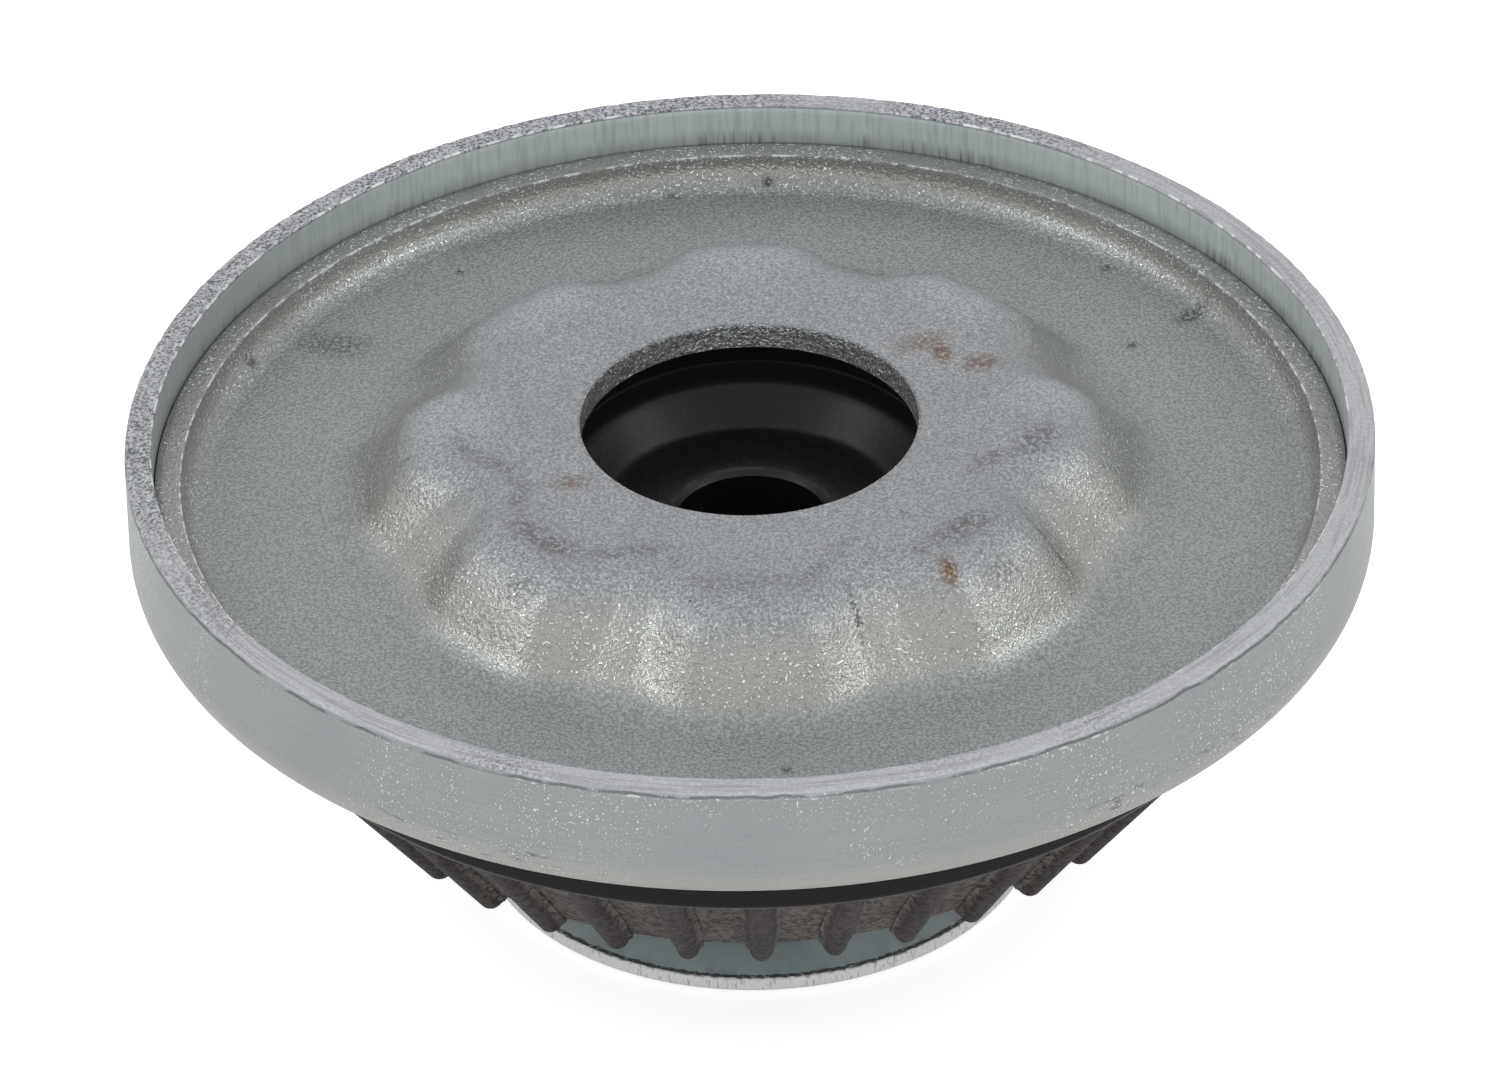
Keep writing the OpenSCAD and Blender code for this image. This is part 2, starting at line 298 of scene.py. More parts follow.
def turned_mesh(name, profile, steps, wear=None):
    """Closed ring turned from a section that runs anticlockwise in radius and height.

    wear(rows, angles) may return radius and height offsets for every row and angle.
    """
    rows = np.array(profile, float)
    angles = ring_angles(steps)
    radius = np.repeat(rows[:, :1], steps, axis=1)
    height = np.repeat(rows[:, 1:], steps, axis=1)
    if wear is not None:
        radius_wear, height_wear = wear(rows, angles)
        radius = radius + radius_wear
        height = height + height_wear
    points = np.stack([radius * np.cos(angles), radius * np.sin(angles), height], axis=2)
    count = len(rows)
    i, j = np.meshgrid(np.arange(count), np.arange(steps), indexing="ij")
    here = i * steps
    after = (i + 1) % count * steps
    turn = (j + 1) % steps
    faces = np.stack([here + j, here + turn, after + turn, after + j], axis=2).reshape(-1, 4)
    mesh = bpy.data.meshes.new(name)
    mesh.from_pydata(points.reshape(-1, 3).tolist(), [], faces.tolist())
    mesh.update()
    return mesh


def finished_piece(name, mesh, material, node, sharp=40.0):
    """Links a mesh as a piece that stands for a CAD node."""
    mesh.shade_smooth()
    mesh.set_sharp_from_angle(angle=math.radians(sharp))
    mesh.materials.clear()
    mesh.materials.append(material)
    piece = bpy.data.objects.new(name, mesh)
    bpy.context.scene.collection.objects.link(piece)
    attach(piece, BODY)
    if node is not None:
        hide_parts(node)
    return piece


def modified_mesh(mesh, tree, inputs, name):
    """Runs a Geometry Nodes tree on a mesh and returns the result as a plain mesh."""
    carrier = bpy.data.objects.new(name, mesh)
    bpy.context.scene.collection.objects.link(carrier)
    modifier = carrier.modifiers.new(tree.name, "NODES")
    modifier.node_group = tree
    sockets = {s.name: s.identifier for s in tree.interface.items_tree if s.in_out == "INPUT"}
    for label, value in inputs.items():
        modifier[sockets[label]] = value
    bpy.context.view_layer.update()
    graph = bpy.context.evaluated_depsgraph_get()
    result = bpy.data.meshes.new_from_object(carrier.evaluated_get(graph))
    result.name = name
    carrier.modifiers.remove(modifier)
    bpy.data.objects.remove(carrier)
    return result


# Node trees

class Wiring:
    """Short way to make and link the nodes of a tree."""

    def __init__(self, tree):
        self.tree = tree

    def node(self, kind, inputs=(), **settings):
        made = self.tree.nodes.new(kind)
        for key, setting in settings.items():
            setattr(made, key, setting)
        for key, value in dict(inputs).items():
            self.feed(made.inputs[key], value)
        return made

    def feed(self, socket, value):
        if isinstance(value, bpy.types.NodeSocket):
            self.tree.links.new(value, socket)
        elif socket.type == "RGBA" and len(value) == 3:
            socket.default_value = (*value, 1.0)
        else:
            socket.default_value = value

    def math(self, operation, *values):
        made = self.node("ShaderNodeMath", operation=operation)
        for socket, value in zip(made.inputs, values):
            self.feed(socket, value)
        return made.outputs[0]

    def inverse(self, value):
        return self.math("SUBTRACT", 1.0, value)

    def reach(self, x, y):
        """Length of a flat vector."""
        return self.math("SQRT", self.math(
            "ADD", self.math("MULTIPLY", x, x), self.math("MULTIPLY", y, y)))

    def front_angle(self, x, y):
        """Angle about the axis, 0 at the front."""
        return self.math("ARCTAN2", x, self.math("MULTIPLY", y, -1.0))


class TreeMaker(Wiring):
    """Geometry Nodes tree with named inputs, which ends in plain geometry with a material."""

    def __init__(self, name, inputs):
        super().__init__(bpy.data.node_groups.new(name, "GeometryNodeTree"))
        face = self.tree.interface
        face.new_socket(name="Geometry", in_out="INPUT", socket_type="NodeSocketGeometry")
        for label, kind in (*inputs, ("Material", "NodeSocketMaterial")):
            face.new_socket(name=label, in_out="INPUT", socket_type=kind)
        face.new_socket(name="Geometry", in_out="OUTPUT", socket_type="NodeSocketGeometry")
        self.source = self.node("NodeGroupInput").outputs
        self.sink = self.node("NodeGroupOutput").inputs["Geometry"]

    def end(self, geometry):
        whole = self.node("GeometryNodeRealizeInstances", {"Geometry": geometry})
        coat = self.node("GeometryNodeSetMaterial", {
            "Geometry": whole.outputs[0], "Material": self.source["Material"]})
        self.feed(self.sink, coat.outputs[0])
        return self.tree


def flute_press():
    """Tree that presses flutes into a plain turned dome.

    Each point moves in towards the axis by its own "press" depth, all of it in a flute and
    none of it on a lobe, with a smooth fall between.
    """
    maker = TreeMaker("Flute Press", [
        ("Lobes", "NodeSocketInt"), ("Lobe Share", "NodeSocketFloat"),
        ("Flute Share", "NodeSocketFloat")])
    place = maker.node("GeometryNodeInputPosition").outputs[0]
    parts = maker.node("ShaderNodeSeparateXYZ", {0: place}).outputs
    radius = maker.reach(parts["X"], parts["Y"])
    angle = maker.front_angle(parts["X"], parts["Y"])
    half = maker.math("DIVIDE", math.pi, maker.source["Lobes"])
    folded = maker.math("ABSOLUTE", maker.math("WRAP", angle, half, maker.math("MULTIPLY", half, -1.0)))
    fall = maker.node("ShaderNodeMapRange", {
        "Value": maker.math("DIVIDE", folded, half), "From Min": maker.source["Lobe Share"],
        "From Max": maker.inverse(maker.source["Flute Share"]),
    }, interpolation_type="SMOOTHSTEP").outputs["Result"]
    press = maker.node("GeometryNodeInputNamedAttribute", {"Name": "press"}, data_type="FLOAT")
    depth = maker.math("MULTIPLY", press.outputs["Attribute"], fall)
    share = maker.inverse(maker.math("DIVIDE", depth, radius))
    moved = maker.node("ShaderNodeCombineXYZ", {
        "X": maker.math("MULTIPLY", parts["X"], share),
        "Y": maker.math("MULTIPLY", parts["Y"], share),
        "Z": parts["Z"],
    }).outputs[0]
    set_place = maker.node("GeometryNodeSetPosition", {
        "Geometry": maker.source["Geometry"], "Position": moved})
    return maker.end(set_place.outputs[0])


def rib_pattern():
    """Tree that repeats one rib evenly round the axis."""
    maker = TreeMaker("Rib Pattern", [("Ribs", "NodeSocketInt")])
    points = maker.node("GeometryNodePoints", {"Count": maker.source["Ribs"]})
    index = maker.node("GeometryNodeInputIndex").outputs[0]
    turn = maker.math("DIVIDE", maker.math("MULTIPLY", index, 2.0 * math.pi), maker.source["Ribs"])
    spin = maker.node("ShaderNodeCombineXYZ", {"Z": turn}).outputs[0]
    copies = maker.node("GeometryNodeInstanceOnPoints", {
        "Points": points.outputs[0], "Instance": maker.source["Geometry"], "Rotation": spin})
    return maker.end(copies.outputs[0])


# Material helpers

class Finish(Wiring):
    """Short way to wire a surface's nodes, on Object coordinates in metres."""

    def __init__(self, name):
        self.material = bpy.data.materials.new(name)
        self.material.use_nodes = True
        super().__init__(self.material.node_tree)
        self.shader = self.tree.nodes["Principled BSDF"]
        self.place = self.node("ShaderNodeTexCoord").outputs["Object"]
        parts = self.node("ShaderNodeSeparateXYZ", {0: self.place}).outputs
        self.x, self.y, self.z = parts["X"], parts["Y"], parts["Z"]
        self.radius = self.reach(self.x, self.y)

    def noise(self, size, detail=2.0, rough=0.5, warp=0.0, vector=None):
        """Noise whose features are about size metres across."""
        made = self.node("ShaderNodeTexNoise", {
            "Vector": vector or self.place, "Scale": 1.0 / size, "Detail": detail,
            "Roughness": rough, "Distortion": warp})
        return made.outputs["Fac"]

    def pebbles(self, size, warp):
        """Distance from the middle of rounded cells about size metres across, from 0 to about 0.7."""
        jolt = self.node("ShaderNodeTexNoise", {
            "Vector": self.place, "Scale": 0.7 / size, "Detail": 1.0})
        bent = self.node("ShaderNodeVectorMath", {
            0: self.place, 1: self.node("ShaderNodeVectorMath", {
                0: jolt.outputs["Color"], 1: (warp, warp, warp)}, operation="MULTIPLY").outputs[0]})
        cells = self.node("ShaderNodeTexVoronoi", {
            "Vector": bent.outputs[0], "Scale": 1.0 / size, "Smoothness": 0.35}, feature="SMOOTH_F1")
        return cells.outputs["Distance"]

    def step(self, value, low, high):
        """0 below low, 1 above high, smooth between."""
        made = self.node("ShaderNodeMapRange", {
            "Value": value, "From Min": low, "From Max": high}, interpolation_type="SMOOTHSTEP")
        return made.outputs["Result"]

    def band(self, value, low, high, edge):
        """1 between two values, with soft edges."""
        return self.math(
            "MULTIPLY", self.step(value, low - edge, low + edge),
            self.inverse(self.step(value, high - edge, high + edge)))

    def times(self, *values):
        total = values[0]
        for value in values[1:]:
            total = self.math("MULTIPLY", total, value)
        return total

    def most(self, *values):
        total = values[0]
        for value in values[1:]:
            total = self.math("MAXIMUM", total, value)
        return total

    def mix(self, factor, first, second):
        made = self.node("ShaderNodeMix", data_type="RGBA", clamp_factor=True)
        self.feed(made.inputs[0], factor)
        self.feed(made.inputs[6], first)
        self.feed(made.inputs[7], second)
        return made.outputs[2]

    def spot(self, x, y, size, stretch=1.0, turn=0.0):
        """1 at a place on the part, fading to 0 over a size in metres."""
        shift = self.node("ShaderNodeMapping", {
            "Vector": self.place, "Location": (x, y, 0.0), "Rotation": (0.0, 0.0, turn),
            "Scale": (size * stretch, size, 1.0)}, vector_type="TEXTURE").outputs[0]
        flat = self.node("ShaderNodeSeparateXYZ", {0: shift}).outputs
        return self.inverse(self.step(self.reach(flat["X"], flat["Y"]), 0.2, 1.0))

    def marked(self, tint, marks, colour, mask):
        """Lays a list of marks over a colour, each kept to a mask."""
        for x, y, reach, stretch, turn, strength in marks:
            mark = self.spot(x * MM, y * MM, reach * MM, stretch, math.radians(turn))
            tint = self.mix(self.times(mark, mask, strength), tint, colour)
        return tint

    def lobe_edge(self):
        """How far a point lies outside the outline of the dome's flat top, in metres."""
        size = sizes()
        half = math.pi / size.lobe_count
        angle = self.front_angle(self.x, self.y)
        folded = self.math("ABSOLUTE", self.math("WRAP", angle, half, -half))
        fall = self.step(folded, size.lobe_share * half, (1.0 - size.flute_share) * half)
        return self.math(
            "SUBTRACT", self.math("ADD", self.radius, self.times(fall, size.flute_depth)), size.lobe_tip)

    def ring_coordinates(self, along, across, up):
        """Vector of arc length, radius and height, each in units of its own size."""
        angle = self.front_angle(self.x, self.y)
        arc_length = self.math("MULTIPLY", angle, DISH_HIGH.x)
        return self.node("ShaderNodeCombineXYZ", {
            "X": self.math("DIVIDE", arc_length, along),
            "Y": self.math("DIVIDE", self.radius, across),
            "Z": self.math("DIVIDE", self.z, up)}).outputs[0]

    def ring_noise(self, along, across, up, detail, rough=0.5):
        """Noise that is drawn out round the axis, across the radius or up the height."""
        return self.noise(1.0, detail, rough, vector=self.ring_coordinates(along, across, up))

    def bump(self, height, depth, base=None):
        """Bump of a depth in metres, on top of another bump."""
        inputs = {"Height": height, "Distance": depth, "Strength": 1.0}
        if base is not None:
            inputs["Normal"] = base
        return self.node("ShaderNodeBump", inputs).outputs[0]

    def set(self, **sockets):
        for key, value in sockets.items():
            self.feed(self.shader.inputs[key.replace("_", " ").title()], value)
        return self.material


def zinc_dish():
    """Plated wall with painted sparkle, a mottled sheared rim with painted highlights and a painted
    shadow line, scuffs low on the wall, painted light towards its foot and painted shade inside.
    """
    tone = finishes()
    made = Finish("zinc_dish")
    rim_z, outer_r = DISH_HIGH.z, DISH_HIGH.x
    wall_r = outer_r - sizes().sheet
    on_top = made.step(made.z, rim_z - 0.34 * MM, rim_z - 0.16 * MM)
    inside = made.inverse(made.step(made.radius, wall_r + 0.15 * MM, wall_r + 0.4 * MM))
    outside = made.inverse(inside)
    cloud = made.noise(9.0 * MM, detail=3.0)
    drawn = made.ring_noise(9.0 * MM, 40.0 * MM, 0.22 * MM, detail=3.0)
    wall = made.mix(made.times(made.step(cloud, 0.35, 0.7), 0.5), tone.zinc_wall, tone.zinc_wall_dim_and_shade)
    wall = made.mix(made.times(made.step(drawn, 0.46, 0.7), 0.6), wall, tone.zinc_wall_dim_and_shade)
    # Painted light: lighter and warmer towards the wall's foot, as light from the floor
    low = made.inverse(made.step(made.z, DISH_LOW.z + 1.2 * MM, DISH_LOW.z + 4.4 * MM))
    wall = made.mix(made.times(low, 0.6), wall, tone.zinc_wall_low_lit)

    # Scuffs low on the wall, and painted glints on grains in patches
    scuff = made.ring_noise(2.2 * MM, 8.0 * MM, 0.5 * MM, detail=4.0, rough=0.65)
    patch = made.noise(13.0 * MM, detail=2.0)
    below = made.inverse(made.step(made.z, DISH_LOW.z + 3.0 * MM, DISH_LOW.z + 6.0 * MM))
    worn = made.times(made.step(scuff, 0.56, 0.7), made.step(patch, 0.44, 0.58), below)
    wall = made.mix(made.times(worn, 0.55), wall, tone.grime_and_shade)
    glint_grains = made.step(made.noise(0.21 * MM, detail=0.0), 0.68, 0.77)
    wall = made.mix(made.times(glint_grains, made.step(patch, 0.36, 0.62)), wall, tone.painted_glint)

    # Inside of the wall, with faint streaks (the paler ones a painted sheen), scored where the cover was
    # pressed in, with painted shade towards the seat and on the left side
    streaks = made.ring_noise(0.5 * MM, 40.0 * MM, 5.0 * MM, detail=3.0)
    inner = made.mix(
        made.times(made.step(streaks, 0.46, 0.7), 0.35), tone.zinc_inner, tone.zinc_land_dim)
    inner = made.mix(made.times(made.step(streaks, 0.44, 0.3), 0.2), inner, tone.painted_glint)
    pressed = made.ring_noise(0.45 * MM, 40.0 * MM, 9.0 * MM, detail=3.0)
    scored = made.ring_noise(14.0 * MM, 40.0 * MM, 40.0 * MM, detail=2.0)
    seat_z = rim_z - sizes().cover_step
    near_seat = made.inverse(made.step(made.z, seat_z + 0.1 * MM, seat_z + 1.8 * MM))
    score = made.times(made.step(pressed, 0.48, 0.64), made.step(scored, 0.4, 0.6), near_seat)
    # Painted shade: darker towards the seat of the cover
    inner = made.mix(made.times(near_seat, 0.3), inner, tone.zinc_pit_and_shade)
    # Painted shade: the left side of the inner wall is darker
    shaded = made.times(made.step(made.x, -22.0 * MM, -52.0 * MM), 0.6)
    inner = made.mix(shaded, inner, tone.zinc_wall_dim_and_shade)
    inner = made.mix(made.times(score, 0.5), inner, tone.grime_and_shade)
    tint = made.mix(inside, wall, inner)

    # Sheared top: mottled, with lines round it, painted glints, and torn pits that are densest at the
    # back left
    coarse = made.noise(0.3 * MM, detail=3.0, rough=0.65)
    lines = made.ring_noise(8.0 * MM, 0.24 * MM, 4.0 * MM, detail=2.0)
    torn = made.math("ADD", made.noise(20.0 * MM, detail=1.0), made.times(
        made.step(made.math("SUBTRACT", made.y, made.x), -20.0 * MM, 60.0 * MM), 0.3))
    rough = made.math("ADD", 0.3, made.times(made.step(torn, 0.45, 0.8), 0.7))
    rim = made.mix(made.times(made.step(coarse, 0.58, 0.4), rough), tone.zinc_rim, tone.zinc_rim_dim)
    rim = made.mix(made.times(made.step(lines, 0.5, 0.62), 0.5), rim, tone.zinc_rim_dim)
    rim = made.mix(made.times(made.step(coarse, 0.6, 0.7), rough, 0.8), rim, tone.painted_glint)
    pits = made.times(made.step(coarse, 0.5, 0.38), made.step(torn, 0.52, 0.78))
    rim = made.mix(made.times(pits, 0.85), rim, tone.zinc_rim_pit)
    tint = made.mix(on_top, tint, rim)

    # Painted shadow: a thin dark line just under the rim's outer edge; painted highlights: bright dashes
    # on the burr below it and a broken bright line along the inner edge
    edge_wave = made.ring_noise(3.6 * MM, 40.0 * MM, 40.0 * MM, detail=4.0)
    wavy_edge_z = made.math("SUBTRACT", made.z, made.times(edge_wave, 0.8 * MM))
    edge_shadow = made.times(
        made.band(wavy_edge_z, rim_z - 1.0 * MM, rim_z - 0.72 * MM, 0.05 * MM), outside,
        made.step(edge_wave, 0.3, 0.5))
    tint = made.mix(made.times(edge_shadow, 0.6), tint, tone.grime_and_shade)
    burr_highlight = made.times(
        made.band(wavy_edge_z, rim_z - 1.25 * MM, rim_z - 1.0 * MM, 0.05 * MM), outside,
        made.step(made.noise(1.1 * MM, detail=2.0), 0.54, 0.64), made.step(patch, 0.45, 0.6))
    tint = made.mix(made.times(burr_highlight, 0.6), tint, tone.painted_glint)
    broken = made.ring_noise(1.6 * MM, 40.0 * MM, 40.0 * MM, detail=3.0)
    crest = made.times(
        made.band(made.radius, wall_r - 0.1 * MM, wall_r + 0.16 * MM, 0.05 * MM),
        made.step(made.z, rim_z - 0.3 * MM, rim_z - 0.1 * MM), made.step(broken, 0.5, 0.6))
    tint = made.mix(made.times(crest, 0.9), tint, tone.painted_glint)

    surface = made.bump(made.noise(0.55 * MM, detail=2.0), 0.012 * MM)
    surface = made.bump(made.times(glint_grains, outside), 0.03 * MM, surface)
    surface = made.bump(made.times(coarse, on_top), 0.14 * MM, surface)
    gloss = made.math("ADD", 0.4, made.times(on_top, 0.08))
    made.shader.inputs["Specular IOR Level"].default_value = 0.25
    return made.set(base_color=tint, metallic=0.4, roughness=gloss, normal=surface)


def zinc_cover():
    """Plated sheet with a leathery grain, a paler dome with a painted sheen on the lobes' tips, painted
    glints, rust, specks, scuffs and painted shade along two creases.
    """
    tone = finishes()
    size = sizes()
    made = Finish("zinc_cover")
    dome_z = COVER_HIGH.z
    land_z = dome_z - size.dome_height
    edge_z = DISH_HIGH.z - size.cover_step
    inner_r = COVER_HIGH.x - size.sheet
    on_dome = made.step(made.z, dome_z - 4.0 * MM, dome_z - 0.2 * MM)
    on_slope = made.step(made.z, land_z + 0.05 * MM, land_z + 1.6 * MM)
    outer = made.step(made.radius, inner_r - 3.4 * MM, inner_r - 0.5 * MM)
    on_edge = made.times(
        made.step(made.z, edge_z - 0.2 * MM, edge_z - 0.1 * MM),
        made.step(made.radius, inner_r - 0.5 * MM, inner_r))

    cloud = made.noise(14.0 * MM, detail=3.0)
    leather = made.pebbles(0.3 * MM, 0.32 * MM)
    fine = made.noise(0.4 * MM, detail=2.0, rough=0.6)
    tint = made.mix(made.times(made.step(cloud, 0.35, 0.7), 0.4), tone.zinc_land, tone.zinc_land_dim)
    tint = made.mix(on_slope, tint, tone.zinc_slope)
    tint = made.mix(on_dome, tint, tone.zinc_dome)
    tint = made.mix(made.times(outer, 0.2), tint, tone.zinc_fillet)
    tint = made.mix(on_edge, tint, tone.zinc_edge)
    # Painted sheen on the lobes' tips
    tint = made.marked(tint, TIP_SHEEN_MARKS, tone.zinc_tip_sheen, on_dome)
    hole_wall = made.inverse(made.step(made.radius, size.hole + 0.05 * MM, size.hole + 0.3 * MM))
    tint = made.mix(made.times(hole_wall, made.step(fine, 0.45, 0.6), 0.45), tint, tone.zinc_pit_and_shade)

    # Grain: darker pits, crests with a faint painted highlight, and painted glints on the slopes, the
    # fillet and the hole's wall
    flank = made.times(on_slope, made.inverse(on_dome))
    flat = made.inverse(made.times(flank, 0.7))
    tint = made.mix(made.times(made.step(leather, 0.38, 0.62), flat, 0.5), tint, tone.zinc_pit_and_shade)
    tint = made.mix(made.times(made.step(leather, 0.26, 0.08), flat, 0.05), tint, tone.painted_glint)
    tint = made.mix(made.times(made.step(fine, 0.54, 0.7), 0.4), tint, tone.zinc_pit_and_shade)
    patch = made.noise(8.0 * MM, detail=1.0)
    glints = made.step(made.noise(0.27 * MM, detail=0.0), 0.61, 0.72)
    bright = made.most(
        made.times(on_slope, made.inverse(made.times(on_dome, 0.75))),
        made.times(outer, 0.9), hole_wall, 0.1)
    tint = made.mix(made.times(glints, bright, made.step(patch, 0.25, 0.55)), tint, tone.painted_glint)
    # Painted highlight: a broken bright line along the inner corner of the cover's edge
    broken = made.ring_noise(1.4 * MM, 40.0 * MM, 40.0 * MM, detail=3.0)
    crest = made.times(
        made.band(made.radius, inner_r - 0.1 * MM, inner_r + 0.16 * MM, 0.05 * MM), on_edge,
        made.step(broken, 0.47, 0.57))
    tint = made.mix(made.times(crest, 0.85), tint, tone.painted_glint)

    # Scuffed line along the edge of the flat top, at the front and sides
    away = made.lobe_edge()
    worn = made.times(
        made.band(away, -1.5 * MM, 0.6 * MM, 1.1 * MM),
        made.step(made.noise(6.0 * MM, detail=2.0), 0.4, 0.6),
        made.inverse(made.step(made.y, -6.0 * MM, 6.0 * MM)))
    tint = made.mix(made.times(worn, made.step(fine, 0.36, 0.56), 0.45), tint, tone.grime_and_shade)
    # The dark marks hold specks and scuffs, and two lines of painted shade along the creases
    tint = made.marked(tint, DARK_MARKS_AND_CREASE_SHADE, tone.grime_and_shade, made.step(fine, 0.38, 0.56))
    tint = made.marked(tint, RUST_MARKS, tone.rust, made.step(fine, 0.34, 0.54))

    wrinkled = made.math("ADD", 0.6, made.times(on_dome, 0.7))
    surface = made.bump(made.times(leather, flat, wrinkled), -0.07 * MM)
    grainy = made.math("ADD", 1.0, made.times(flank, 1.3))
    surface = made.bump(made.times(fine, grainy), 0.045 * MM, surface)
    surface = made.bump(made.times(glints, bright), 0.1 * MM, surface)
    surface = made.bump(made.times(made.noise(0.8 * MM, detail=3.0), hole_wall), 0.3 * MM, surface)
    gloss = made.math("SUBTRACT", 0.32, made.times(flank, 0.07))
    return made.set(base_color=tint, metallic=0.6, roughness=gloss, normal=surface)


def zinc_disc():
    """Smooth bluish plating with a painted highlight on the sheared edge, under a dark torn line that
    holds painted glints.
    """
    tone = finishes()
    made = Finish("zinc_disc")
    cloud = made.noise(6.0 * MM, detail=3.0)
    tint = made.mix(made.step(cloud, 0.35, 0.7), tone.zinc_disc, tone.zinc_disc_dim)
    torn = made.ring_noise(1.4 * MM, 40.0 * MM, 40.0 * MM, detail=4.0)
    line_r = made.math("ADD", DISC_HIGH.x - 1.0 * MM, made.times(torn, 0.7 * MM))
    dark = made.step(made.math("SUBTRACT", made.radius, line_r), -0.05 * MM, 0.05 * MM)
    tint = made.mix(made.times(dark, 0.85), tint, tone.grime_and_shade)
    # Painted glints in the dark torn line
    flecks = made.step(made.noise(0.5 * MM, detail=2.0), 0.56, 0.64)
    tint = made.mix(made.times(dark, flecks, 0.8), tint, tone.painted_glint)
    # Painted highlight along the sheared edge
    edge = made.step(made.radius, DISC_HIGH.x - 0.2 * MM, DISC_HIGH.x - 0.08 * MM)
    tint = made.mix(edge, tint, tone.painted_glint)
    nicks = made.ring_noise(0.5 * MM, 40.0 * MM, 0.9 * MM, detail=3.0)
    tint = made.mix(made.times(made.step(nicks, 0.55, 0.68), edge, 0.5), tint, tone.zinc_pit_and_shade)
    surface = made.bump(made.noise(0.6 * MM, detail=2.0), 0.02 * MM)
    surface = made.bump(made.times(nicks, edge), 0.1 * MM, surface)
    return made.set(base_color=tint, metallic=0.2, roughness=0.4, normal=surface)


def moulded_rubber():
    """Glossy black band, dusty brownish skirt and cleaner, darker ribs."""
    tone = finishes()
    size = sizes()
    made = Finish("moulded_rubber")
    band_z = DISH_LOW.z - size.band_height
    on_band = made.step(made.z, band_z - 0.1 * MM, band_z + 0.25 * MM)
    lean = (size.skirt_top - size.skirt_edge) / size.skirt_height
    skirt_r = made.math("ADD", size.skirt_top, made.times(made.math("SUBTRACT", made.z, band_z), lean))
    on_rib = made.step(made.math("SUBTRACT", made.radius, skirt_r), 0.25 * MM, 1.0 * MM)
    dust = made.noise(0.6 * MM, detail=4.0, rough=0.7)
    cloud = made.noise(5.0 * MM, detail=3.0)
    skirt = made.mix(made.step(dust, 0.36, 0.6), tone.rubber_dark, tone.rubber_dull)
    skirt = made.mix(made.times(made.step(cloud, 0.42, 0.66), 0.4), skirt, tone.rubber_dark)
    motes = made.step(made.noise(0.35 * MM, detail=1.0), 0.62, 0.72)
    skirt = made.mix(made.times(motes, 0.5), skirt, tone.rubber_dust)
    skirt = made.mix(made.times(on_rib, 0.65), skirt, tone.rubber_dark)
    tint = made.mix(on_band, skirt, tone.rubber_gloss)
    surface = made.bump(made.times(dust, made.inverse(on_band)), 0.12 * MM)
    gloss = made.math("SUBTRACT", 0.62, made.times(on_band, 0.34))
    made.shader.inputs["Specular IOR Level"].default_value = 0.16
    return made.set(base_color=tint, roughness=gloss, normal=surface)


def black_coat():
    """Satin black coat of the bush, with a little dust, painted shade on the cup's wall and a painted
    highlight on the lip round the bore.
    """
    tone = finishes()
    size = sizes()
    made = Finish("black_coat")
    dust = made.noise(0.5 * MM, detail=3.0, rough=0.6)
    tint = made.mix(made.times(made.step(dust, 0.5, 0.75), 0.6), tone.bush_black, tone.bush_dust)
    floor_z = COVER_HIGH.z - size.cup_depth
    # Painted shade: the cup's wall above the cone is painted deep black
    shade = made.step(made.z, floor_z + size.cup_cone - 0.3 * MM, floor_z + size.cup_cone + 0.1 * MM)
    tint = made.mix(shade, tint, tone.bush_shade)
    # Painted highlight: a broken bright ring on the lip round the bore
    lip_r = size.rod + 0.7 * MM
    lip = made.times(
        made.band(made.radius, lip_r - 0.2 * MM, lip_r + 0.12 * MM, 0.08 * MM),
        made.step(made.noise(3.0 * MM, detail=2.0), 0.44, 0.56))
    tint = made.mix(made.times(lip, 0.1), tint, tone.bush_lip_highlight)
    surface = made.bump(dust, 0.03 * MM)
    gloss = made.math("ADD", 0.38, made.times(shade, 0.3))
    made.shader.inputs["Specular IOR Level"].default_value = 0.25
    return made.set(base_color=tint, roughness=gloss, normal=surface)


# Sections, in metres: points run anticlockwise in radius and height

def dish_section():
    size = sizes()
    low, high, outer = DISH_LOW.z, DISH_HIGH.z, DISH_HIGH.x
    inner = outer - size.sheet
    floor = low + size.sheet
    bend = (outer - size.dish_bend, low + size.dish_bend)
    points = [(size.throat, low)]
    points += line((size.throat, low), (bend[0], low), 5)
    points += arc(bend, size.dish_bend, 270, 360, 14)[1:]
    points += line((outer, bend[1]), (outer, high - 1.2 * MM), 8)
    points += line((outer, high - 1.2 * MM), (outer, high - 0.6 * MM), 3)
    points += [
        (outer - 0.03 * MM, high - 0.42 * MM), (outer - 0.08 * MM, high - 0.28 * MM),
        (outer - 0.2 * MM, high - 0.14 * MM), (outer - 0.34 * MM, high - 0.04 * MM),
        (outer - 0.5 * MM, high),
    ]
    points += line((outer - 0.5 * MM, high), (inner + 0.2 * MM, high), 9)
    points += [(inner + 0.06 * MM, high - 0.06 * MM), (inner, high - 0.2 * MM)]
    points += line((inner, high - 0.2 * MM), (inner, floor + 0.6 * MM), 12)
    points += arc((inner - 0.5 * MM, floor + 0.5 * MM), 0.5 * MM, 0, -90, 3)
    points += line((inner - 0.5 * MM, floor), (size.throat, floor), 3)
    return points


